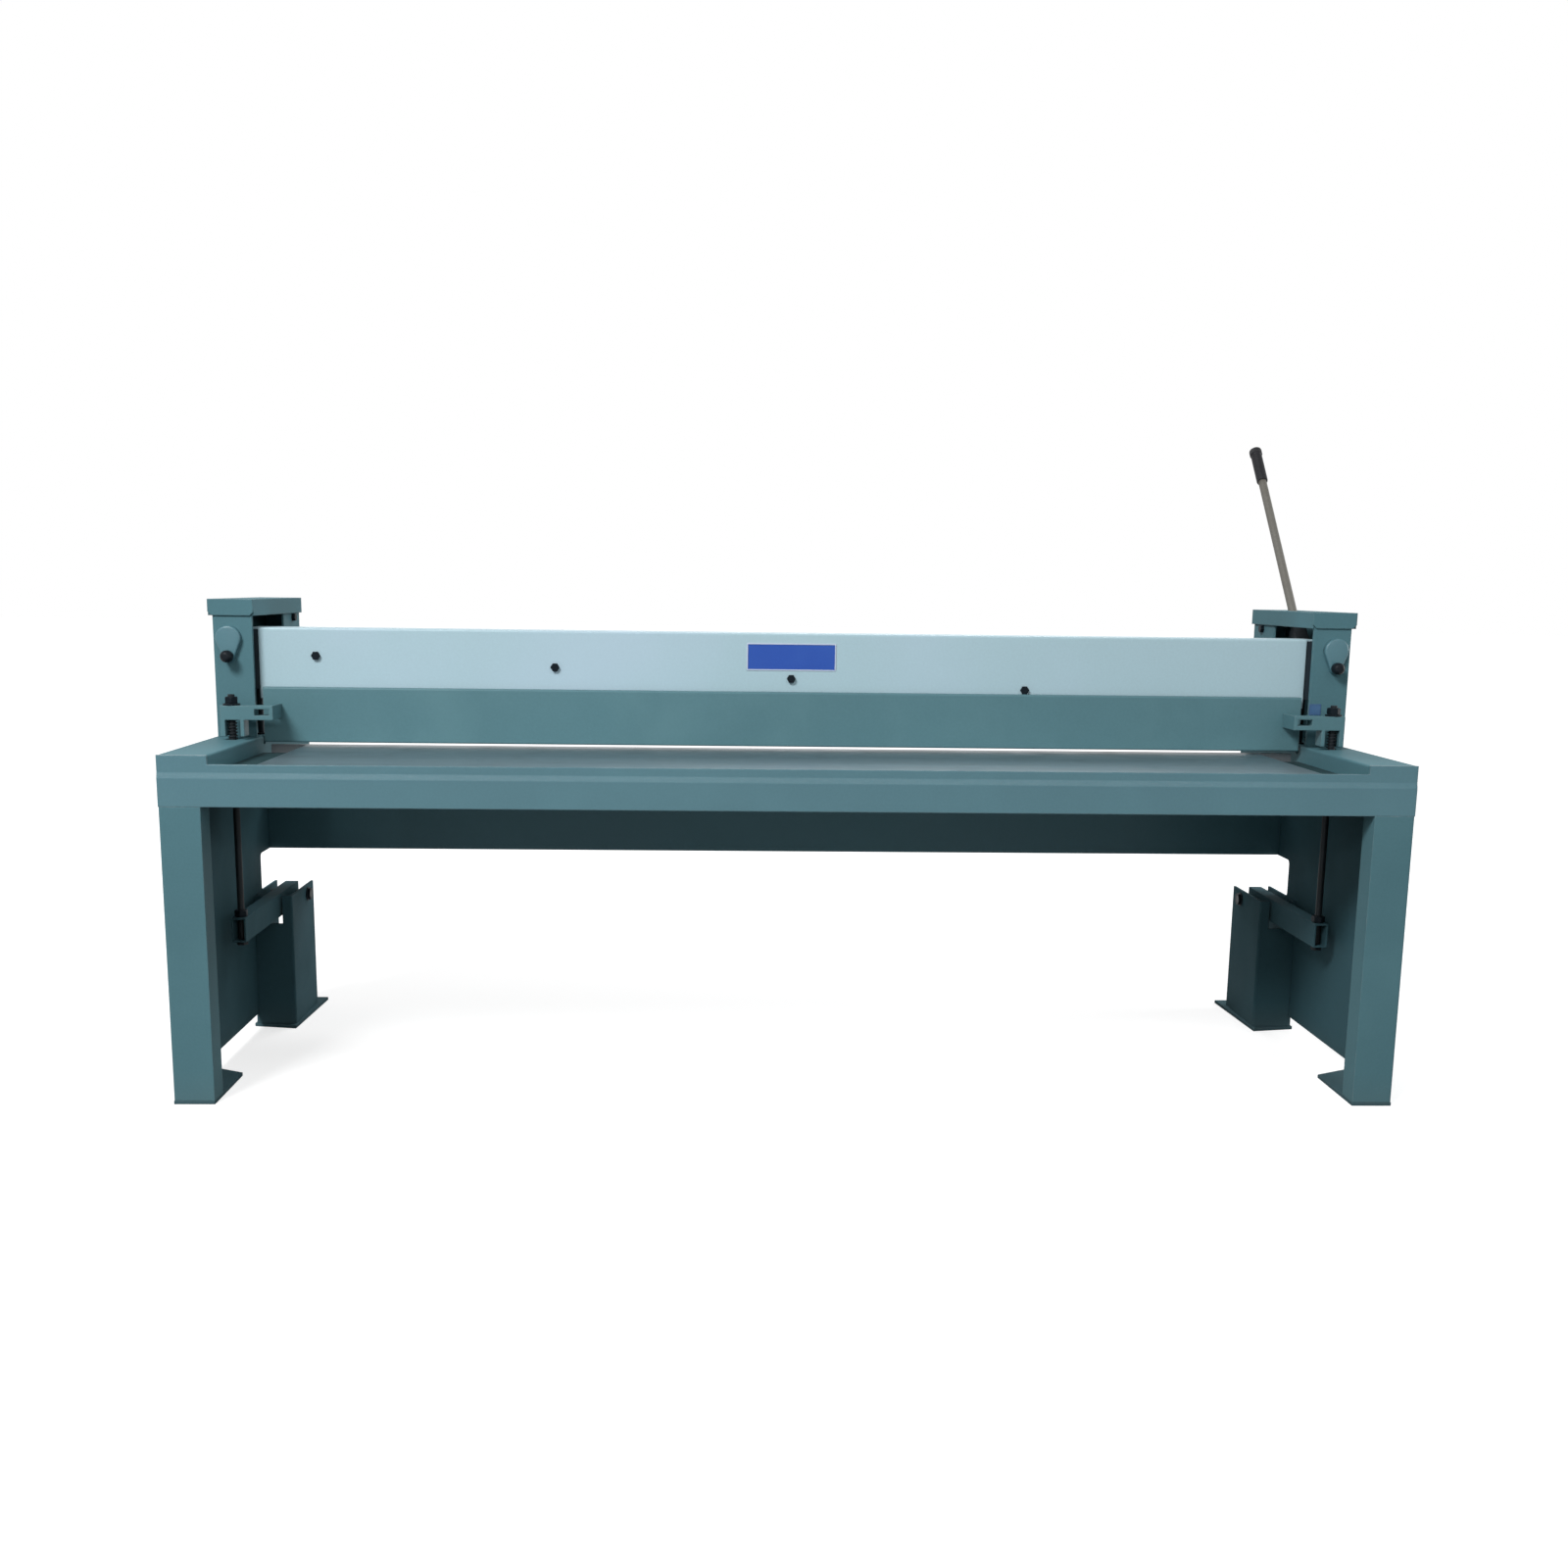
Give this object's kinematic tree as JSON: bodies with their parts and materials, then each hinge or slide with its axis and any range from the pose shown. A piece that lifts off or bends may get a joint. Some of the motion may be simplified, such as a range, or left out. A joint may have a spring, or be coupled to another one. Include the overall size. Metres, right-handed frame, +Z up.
{
  "type": "guillotine shear",
  "caption": "Floor-standing hand guillotine shear: portal stand with steel bed, raked blade beam worked by a side lever, clamp bar drawn down by rods and lower arms.",
  "frame": {"origin": "floor level, at the middle of the four floor bolt holes; the cutting plane is Y = 0", "axes": "+X along the machine towards the lever side, +Y from the operator to the back, +Z up"},
  "size_m": [2.806, 1.1128, 1.5814],
  "materials": {
    "machine_paint": "semi-gloss blue-green machine paint",
    "beam_paint": "semi-gloss pale blue machine paint",
    "ground_steel": "ground steel bed surface",
    "blade_steel": "ground tool steel",
    "bright_steel": "turned bar, dull",
    "dark_steel": "black oxide",
    "guide_iron": "machined, oiled",
    "black_grip": "moulded, satin"
  },
  "bodies": {
    "base": {"front_rail": "machine_paint", "rear_beam": "machine_paint", "bed_tray": "machine_paint", "bed_beam": "machine_paint", "bed_plate": "ground_steel", "lower_blade": "blade_steel", "blade_guides": "guide_iron", "shaft_bearings": "guide_iron", "spring_housings": "dark_steel", "arm_pivot_pins": "bright_steel", "front_leg_left": "machine_paint", "front_leg_right": "machine_paint", "front_foot_left": "machine_paint", "front_foot_right": "machine_paint", "side_top_left": "machine_paint", "side_top_right": "machine_paint", "side_panel_left": "machine_paint", "side_panel_right": "machine_paint", "rear_leg_left": "machine_paint", "rear_leg_right": "machine_paint", "rear_foot_left": "machine_paint", "rear_foot_right": "machine_paint", "tower_front_plate_left": "machine_paint", "tower_front_plate_right": "machine_paint", "tower_side_plate_left": "machine_paint", "tower_side_plate_right": "machine_paint", "tower_rear_post_left": "machine_paint", "tower_rear_post_right": "machine_paint", "tower_cap_left": "machine_paint", "tower_cap_right": "machine_paint"},
    "hand_lever_and_shaft": {"cross_shaft": "bright_steel", "lever_hub": "dark_steel", "hand_lever": "bright_steel", "lever_grip": "black_grip", "crank_left": "dark_steel", "crank_right": "dark_steel", "crank_pins": "bright_steel", "crank_rollers": "bright_steel"},
    "blade_beam": {"upper_beam": "beam_paint", "blade_carrier": "machine_paint", "upper_blade": "blade_steel", "beam_bolts": "dark_steel", "beam_slides": "dark_steel", "beam_end_plate_left": "dark_steel", "beam_end_plate_right": "dark_steel", "spring_plungers": "bright_steel"},
    "clamp": {"clamp_bar": "machine_paint", "clamp_yoke_left": "machine_paint", "clamp_yoke_right": "machine_paint", "pull_rod_left": "dark_steel", "pull_rod_right": "dark_steel", "pull_rod_nuts": "dark_steel"},
    "arm_left": {"clamp_arm_left": "machine_paint"},
    "arm_right": {"clamp_arm_right": "machine_paint"},
    "lock_left": {"lock_handle_left": "machine_paint", "lock_knob_left": "black_grip"},
    "lock_right": {"lock_handle_right": "machine_paint", "lock_knob_right": "black_grip"}
  },
  "joints": [
    {"name": "blade_slide", "type": "slide", "parent": "base", "child": "blade_beam", "axis": [0, 0, -1], "range_m": [0, 0.11], "stiffness_N_per_m": 3000, "springref_m": -0.55},
    {"name": "lever_swing", "type": "hinge", "parent": "base", "child": "hand_lever_and_shaft", "pos_m": [0, 0.125, 0.968], "axis": [1, 0, 0], "range_deg": [0, 80]},
    {"name": "clamp_slide", "type": "slide", "parent": "base", "child": "clamp", "axis": [0, 0, -1], "range_m": [0, 0.0075], "stiffness_N_per_m": 8000, "springref_m": -0.045},
    {"name": "arm_swing_left", "type": "hinge", "parent": "base", "child": "arm_left", "pos_m": [-1.338, 0.345, 0.33], "axis": [1, 0, 0], "range_deg": [0, 1]},
    {"name": "arm_swing_right", "type": "hinge", "parent": "base", "child": "arm_right", "pos_m": [1.338, 0.345, 0.33], "axis": [1, 0, 0], "range_deg": [0, 1]},
    {"name": "lock_turn_left", "type": "hinge", "parent": "base", "child": "lock_left", "pos_m": [-1.3555, -0.045, 1.034], "axis": [0, 1, 0], "range_deg": [0, 90]},
    {"name": "lock_turn_right", "type": "hinge", "parent": "base", "child": "lock_right", "pos_m": [1.3555, -0.045, 1.034], "axis": [0, -1, 0], "range_deg": [0, 90]}
  ],
  "couplings": [
    {"joint": "lever_swing", "follows": "blade_slide", "rad_per_m": 12.69},
    {"joint": "arm_swing_left", "follows": "clamp_slide", "rad_per_m": 2.2624},
    {"joint": "arm_swing_right", "follows": "clamp_slide", "rad_per_m": 2.2624}
  ]
}
